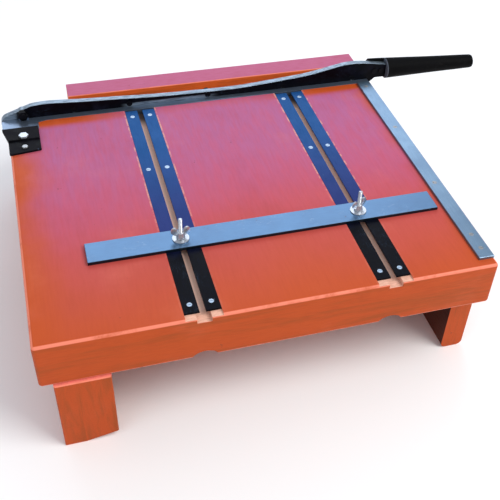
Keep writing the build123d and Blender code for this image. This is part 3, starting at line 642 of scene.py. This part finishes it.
def pieceFrom(body, name):
    mesh = bpy.data.meshes.new(name)
    body.to_mesh(mesh)
    body.free()
    return linked(name, mesh)


def joinFrame(piece, finish, bodyName, node):
    finishOn(piece, finish)
    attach(piece, bodyName)
    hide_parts(node)


def applied(piece):
    graph = bpy.context.evaluated_depsgraph_get()
    graph.update()
    made = bpy.data.meshes.new_from_object(piece.evaluated_get(graph))
    piece.modifiers.clear()
    old = piece.data
    piece.data = made
    made.name = old.name + "_done"


def smoothByAngle(piece, degrees):
    mesh = piece.data
    mesh.polygons.foreach_set("use_smooth", [True] * len(mesh.polygons))
    body = bmesh.new()
    body.from_mesh(mesh)
    for edge in body.edges:
        edge.smooth = len(edge.link_faces) == 2 and edge.calc_face_angle(0.0) < math.radians(degrees)
    body.to_mesh(mesh)
    body.free()


def skin(body, first, second):
    # a band of faces between two rings of points
    for spoke in range(len(first)):
        after = (spoke + 1) % len(first)
        body.faces.new((first[spoke], first[after], second[after], second[spoke]))


# pieces whose corners are eased from the frame's own shapes: body, finish, ease, slot
easedEdges = {
    "table_top": ("table", tablePaint, 0.0012, "painted_wood"),
    "left_runner": ("table", runnerPaint, 0.0016, "painted_wood"),
    "right_runner": ("table", rightRunnerPaint, 0.0016, "painted_wood"),
    "rear_ledger": ("table", railPaint, 0.0012, "painted_wood"),
    "rear_rail": ("table", railPaint, 0.0012, "painted_wood"),
    "left_slot_outer_strip": ("table", stripBlue, 0.00035, "blued_steel"),
    "left_slot_inner_strip": ("table", stripBlue, 0.00035, "blued_steel"),
    "right_slot_inner_strip": ("table", stripBlue, 0.00035, "blued_steel"),
    "right_slot_outer_strip": ("table", stripBlue, 0.00035, "blued_steel"),
    "side_guide": ("table", guideSteel, 0.0004, "bare_steel"),
    "bed_knife": ("table", bedSteel, 0.0004, "bed_steel"),
    "stop_pin": ("table", bedSteel, 0.0003, "bed_steel"),
    "corner_bracket": ("table", blackPaint, 0.0005, "black_iron"),
    "bracket_screw": ("table", dullZinc, 0.0004, "fastener_steel"),
    "bracket_bolt": ("table", zinc, 0.0005, "fastener_steel"),
    "pivot_screw": ("table", blackPaint, 0.0003, "black_iron"),
    "pivot_nut": ("table", blackPaint, 0.0006, "black_iron"),
    "knife_arm": ("arm", armSteel, 0.0007, "arm_steel"),
    "knife_blade": ("arm", bladeSteel, 0.0002, "blade_steel"),
    "blade_nuts": ("arm", blackPaint, 0.0004, "black_iron"),
    "blade_bolts": ("arm", blackPaint, 0.0002, "black_iron"),
    "grip_rivets": ("arm", blackPaint, 0.0005, "black_iron"),
    "gauge_bar": ("gauge", gaugeSteel, 0.0004, "bare_steel"),
    "left_gauge_washer": ("gauge", zinc, 0.0004, "fastener_steel"),
    "right_gauge_washer": ("gauge", zinc, 0.0004, "fastener_steel"),
}
easing = {
    "weld": 0.000005,
    "flatDegrees": 0.6,
    "bevelDegrees": 32,
    "smoothDegrees": 34,
    "levelWeight": 80,
    "spineWidth": 0.0024,
    "spineSegments": 3,
    "spineAbove": 0.004,  # over the table
}


def easeSpine(body):
    # the long front edge of the spine is rubbed round
    chosen = []
    for edge in body.edges:
        onFront = all(abs(vert.co.y - armLow.y) <= 0.00002 for vert in edge.verts)
        if len(edge.link_faces) != 2 or not onFront:
            continue
        first, second = [face.normal for face in edge.link_faces]
        meetsTop = max(first.z, second.z) > 0.25 and min(first.y, second.y) < -0.9
        if meetsTop and max(vert.co.z for vert in edge.verts) > tableTopZ + easing["spineAbove"]:
            chosen.append(edge)
    bmesh.ops.bevel(body, geom=chosen, offset=easing["spineWidth"], segments=easing["spineSegments"],
                    affect="EDGES", clamp_overlap=True)


def easedCopy(node, width):
    mesh = nodes[node].data.copy()
    body = bmesh.new()
    body.from_mesh(mesh)
    bmesh.ops.remove_doubles(body, verts=body.verts, dist=easing["weld"])
    bmesh.ops.dissolve_limit(body, angle_limit=math.radians(easing["flatDegrees"]),
                             verts=body.verts, edges=body.edges)
    if node in ("knife_arm", "knife_blade"):
        easeSpine(body)
    body.to_mesh(mesh)
    body.free()
    mesh.name = node + "_eased"
    piece = linked(node + "_eased", mesh)
    bevel = piece.modifiers.new("ease", "BEVEL")
    bevel.width = width
    bevel.segments = 2
    bevel.limit_method = "ANGLE"
    bevel.angle_limit = math.radians(easing["bevelDegrees"])
    bevel.miter_outer = "MITER_ARC"
    bevel.use_clamp_overlap = True
    applied(piece)
    smoothByAngle(piece, easing["smoothDegrees"])
    # flat faces stay flat right up to their eased corners
    level = piece.modifiers.new("level", "WEIGHTED_NORMAL")
    level.keep_sharp = True
    level.weight = easing["levelWeight"]
    applied(piece)
    return piece


for node, (bodyName, finish, width, slotName) in easedEdges.items():
    joinFrame(easedCopy(node, width), finish, bodyName, node)
print("eased pieces made")

# the small screws keep the frame's shape
screwFinishes = {
    "coach_screws": dullZinc,
    "ledger_screws": dullZinc,
    "rail_screws": dullZinc,
    "bed_knife_screws": blackPaint,
    "strip_screws": stripZinc,
    "guide_screws": dullZinc,
}
for node, finish in screwFinishes.items():
    finishOn(nodes[node], finish)
print("screws finished")

# gauge bolts with cut threads
bolt = {
    "headHeight": 0.005,
    "headEase": 0.0008,
    "stemSink": 0.0004,  # how far the stem starts inside the head
    "radius": 0.003,
    "pitch": 0.0010,
    "threadDepth": 0.00055,
    "tipHeight": 0.0012,
    "tipCut": 0.0007,
    "around": 28,
    "stepsPerTurn": 6,
    "smoothDegrees": 50,
}


def threadedBolt(node, bodyName):
    low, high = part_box(node)
    centre = (low + high) / 2
    side = high.x - low.x
    body = bmesh.new()
    # square head with eased corners
    for vert in bmesh.ops.create_cube(body, size=1.0)["verts"]:
        vert.co = Vector((centre.x + vert.co.x * side, centre.y + vert.co.y * side,
                          low.z + (vert.co.z + 0.5) * bolt["headHeight"]))
    bmesh.ops.bevel(body, geom=body.edges[:], offset=bolt["headEase"], segments=2, affect="EDGES")
    # stem: rings whose radius follows the thread
    stepHeight = bolt["pitch"] / bolt["stepsPerTurn"]
    start = low.z + bolt["headHeight"] - bolt["stemSink"]
    top = high.z
    rings = []
    for step in range(int((top - start) / stepHeight) + 1):
        z = min(start + step * stepHeight, top)
        tip = max(0.0, (z - (top - bolt["tipHeight"])) / bolt["tipHeight"])
        ring = []
        for spoke in range(bolt["around"]):
            turn = spoke / bolt["around"]
            phase = ((z - start) / bolt["pitch"] + turn) % 1.0
            cut = bolt["threadDepth"] * (1 - abs(2 * phase - 1))
            radius = bolt["radius"] - cut - bolt["tipCut"] * tip
            angle = turn * 2 * math.pi
            x = centre.x + radius * math.cos(angle)
            y = centre.y + radius * math.sin(angle)
            ring.append(body.verts.new((x, y, z)))
        rings.append(ring)
    for lower, upper in zip(rings, rings[1:]):
        skin(body, lower, upper)
    body.faces.new(rings[-1])
    body.faces.new(rings[0][::-1])
    piece = pieceFrom(body, node + "_threaded")
    smoothByAngle(piece, bolt["smoothDegrees"])
    joinFrame(piece, zinc, bodyName, node)


threadedBolt("left_gauge_bolt", "gauge")
threadedBolt("right_gauge_bolt", "gauge")

# cast wing nuts
wing = {
    "hub": 0.0064,
    "hubTop": 0.0047,
    "hubHeight": 0.0108,
    "bore": 0.00315,
    "hubAround": 40,
    "earAround": 30,
    "earAcross": 0.0092,
    "earReach": 0.0047,
    "earMiddle": 0.0116,
    "earHeight": 0.0072,
    "earTuck": 0.0042,  # how far the ears' feet run in to the hub
    "inwardReach": 1.12,  # the ears' inner halves are longer by this
    "thickness": 0.0013,
    "root": 0.7,  # extra thickness beside the hub
    # across the ear's thickness: place and size of each layer
    "layers": ((-1.0, 0.80), (-0.72, 0.95), (0.0, 1.0), (0.72, 0.95), (1.0, 0.80)),
    "smoothDegrees": 48,
    "leftTurn": 0.0,
    "rightTurn": 25.0,
}


def hubRings(body):
    bore, hub, hubTop, height = wing["bore"], wing["hub"], wing["hubTop"], wing["hubHeight"]
    profile = [(bore, 0.0004), (hub - 0.0008, 0.0), (hub, 0.0007), (hub, 0.0022), (hub - 0.0006, 0.0034),
               (hubTop + 0.0004, height - 0.0016), (hubTop, height - 0.0006), (hubTop - 0.0007, height),
               (bore + 0.0003, height), (bore, height - 0.0005)]
    turns = [2 * math.pi * spoke / wing["hubAround"] for spoke in range(wing["hubAround"])]
    return [[body.verts.new((radius * math.cos(turn), radius * math.sin(turn), up)) for turn in turns]
            for radius, up in profile]


def earOutline():
    outline = []
    for step in range(wing["earAround"]):
        angle = 2 * math.pi * step / wing["earAround"]
        reach = wing["earReach"] * (1.0 if math.cos(angle) > 0 else wing["inwardReach"])
        across = wing["earAcross"] + reach * math.cos(angle)
        up = wing["earMiddle"] + wing["earHeight"] * math.sin(angle)
        if math.sin(angle) < -0.2:
            across -= wing["earTuck"] * (-math.sin(angle) - 0.2)
        outline.append((across, up))
    return outline


def wingNut(node, bodyName, turnDegrees):
    low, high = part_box(node)
    centre = (low + high) / 2
    body = bmesh.new()
    rings = hubRings(body)
    for index, ring in enumerate(rings):
        skin(body, ring, rings[(index + 1) % len(rings)])
    # two ears, each a closed leaf that thins towards its rim
    for side in (-1, 1):
        layers = []
        for share, size in wing["layers"]:
            layer = []
            for across, up in earOutline():
                x = across + (wing["earAcross"] - across) * (1 - size)
                z = up + (wing["earMiddle"] - up) * (1 - size)
                nearHub = max(0.0, 1 - (x - 0.0045) / 0.006)
                y = share * wing["thickness"] * (1.0 + wing["root"] * nearHub)
                layer.append(body.verts.new((side * x, y, z)))
            layers.append(layer)
        for first, second in zip(layers, layers[1:]):
            skin(body, first, second)
        body.faces.new(layers[0][::-1])
        body.faces.new(layers[-1])
    bmesh.ops.recalc_face_normals(body, faces=body.faces)
    turned = Matrix.Rotation(math.radians(turnDegrees), 3, "Z")
    bmesh.ops.rotate(body, verts=body.verts, cent=(0, 0, 0), matrix=turned)
    bmesh.ops.translate(body, verts=body.verts, vec=(centre.x, centre.y, low.z))
    piece = pieceFrom(body, node + "_cast")
    smoothByAngle(piece, wing["smoothDegrees"])
    joinFrame(piece, zinc, bodyName, node)


wingNut("left_wing_nut", "left_nut", wing["leftTurn"])
wingNut("right_wing_nut", "right_nut", wing["rightTurn"])
print("gauge fastenings made")


def taperedGrip():
    size = gripShape
    axisY = armLow.y + size["axis"]
    lapY = armHigh.y + size["lapGap"]
    length = size["reach"] - size["start"]
    shoulder = (size["shoulder"] - size["start"]) / length
    # rings along the grip, with a close pair where the lap ends
    stations = [0.0, 0.006, shoulder - 0.0002, shoulder + 0.0002]
    stations += [shoulder * k / 4 for k in range(1, 4)]
    stations += [shoulder + (1 - shoulder) * k / size["along"] for k in range(1, size["along"] + 1)]
    body = bmesh.new()
    rings = []
    for station in sorted(stations):
        along = station * length
        radius = size["radiusArm"] + (size["radiusEnd"] - size["radiusArm"]) * station
        # drawn in a little where the palm closes
        palm = min(1.0, max(0.0, (station - 0.2) / 0.72))
        radius -= size["waist"] * math.sin(math.pi * palm) ** 2
        short = size["endRound"] - (length - along)
        if short > 0:
            radius -= size["endRound"] - math.sqrt(max(0.0, size["endRound"] ** 2 - short ** 2))
        if along < size["startRound"]:
            radius -= size["startRound"] - along
        middle = tableTopZ + size["heightArm"] + (size["heightEnd"] - size["heightArm"]) * station
        ring = []
        for spoke in range(size["around"]):
            angle = 2 * math.pi * spoke / size["around"]
            y = axisY + radius * math.cos(angle)
            if station < shoulder:
                y = max(y, lapY)
            z = middle + radius * math.sin(angle)
            ring.append(body.verts.new((tableLeft + size["start"] + along, y, z)))
        rings.append(ring)
    for first, second in zip(rings, rings[1:]):
        skin(body, second, first)
    body.faces.new(rings[0])
    body.faces.new(rings[-1][::-1])
    bmesh.ops.remove_doubles(body, verts=body.verts, dist=0.000002)
    bmesh.ops.recalc_face_normals(body, faces=body.faces)
    piece = pieceFrom(body, "moulded_grip")
    smoothByAngle(piece, 40)
    joinFrame(piece, gripRubber, "arm", "grip")


taperedGrip()
print("grip made")

# floor, light and camera
studio = {
    "floor": (0.93, 0.93, 0.93),
    "floorReach": 9.0,
    "floorDrop": 0.0002,
    "sky": (0.90, 0.94, 1.0),
    "skyStrength": 0.62,
}
# each lamp's place, aim, two sides, watts and colour
lamps = {
    "keyLight": ((1.5, -1.5, 2.6), (0, 0, 0.15), (1.8, 1.8), 72.0, (1.0, 0.98, 0.95)),
    "fillLight": ((-2.0, -1.4, 1.8), (0, 0, 0.15), (1.6, 1.6), 9.0, (0.95, 0.97, 1.0)),
    "rearLight": ((0.2, 2.4, 2.0), (0, 0.1, 0.2), (3.0, 1.6), 30.0, (0.80, 0.88, 1.0)),
}


def paleFloor():
    mesh = bpy.data.meshes.new("floor")
    reach = studio["floorReach"]
    corners = [(-reach, -reach, 0), (reach, -reach, 0), (reach, reach, 0), (-reach, reach, 0)]
    mesh.from_pydata(corners, [], [(0, 1, 2, 3)])
    floor = linked("floor", mesh)
    floor.location.z = -studio["floorDrop"]
    finish, _, shader = newFinish("floorPaper")
    shader.inputs["Base Color"].default_value = studio["floor"] + (1.0,)
    shader.inputs["Roughness"].default_value = 0.9
    shader.inputs["Specular IOR Level"].default_value = 0.1
    finishOn(floor, finish)


def softBox(name, place, aim, sides, watts, colour):
    data = bpy.data.lights.new(name, "AREA")
    data.shape = "RECTANGLE"
    data.size, data.size_y = sides
    data.energy = watts
    data.color = colour
    lamp = linked(name, data)
    lamp.location = place
    lamp.rotation_euler = (Vector(aim) - Vector(place)).to_track_quat("-Z", "Y").to_euler()


paleFloor()
for name, settings in lamps.items():
    softBox(name, *settings)
world = bpy.data.worlds.new("studioSky")
bpy.context.scene.world = world
world.use_nodes = True
sky = world.node_tree.nodes["Background"]
sky.inputs["Color"].default_value = studio["sky"] + (1.0,)
sky.inputs["Strength"].default_value = studio["skyStrength"]
bpy.context.scene.view_settings.view_transform = "Standard"

view = {
    "fromCorner": (0.06368, -0.69904, 0.76387),  # from the table's front left top corner
    "turn": (-0.3216, 0.8383, 0.0563),  # about the upright, then tilt, then roll
    "lens": 59.02,
    "sensor": 36.0,
    "shift": (-0.0386, -0.0030),
}
cameraData = bpy.data.cameras.new("camera")
cameraData.lens = view["lens"]
cameraData.sensor_width = view["sensor"]
cameraData.shift_x, cameraData.shift_y = view["shift"]
cameraData.clip_start = 0.01
camera = linked("camera", cameraData)
aroundUp, tilt, roll = view["turn"]
turned = Matrix.Rotation(aroundUp, 4, "Z") @ Matrix.Rotation(tilt, 4, "X") @ Matrix.Rotation(roll, 4, "Z")
corner = Vector((tableLeft, tableFront, tableTopZ))
camera.matrix_world = Matrix.Translation(corner + Vector(view["fromCorner"])) @ turned
bpy.context.scene.camera = camera
print("studio ready")
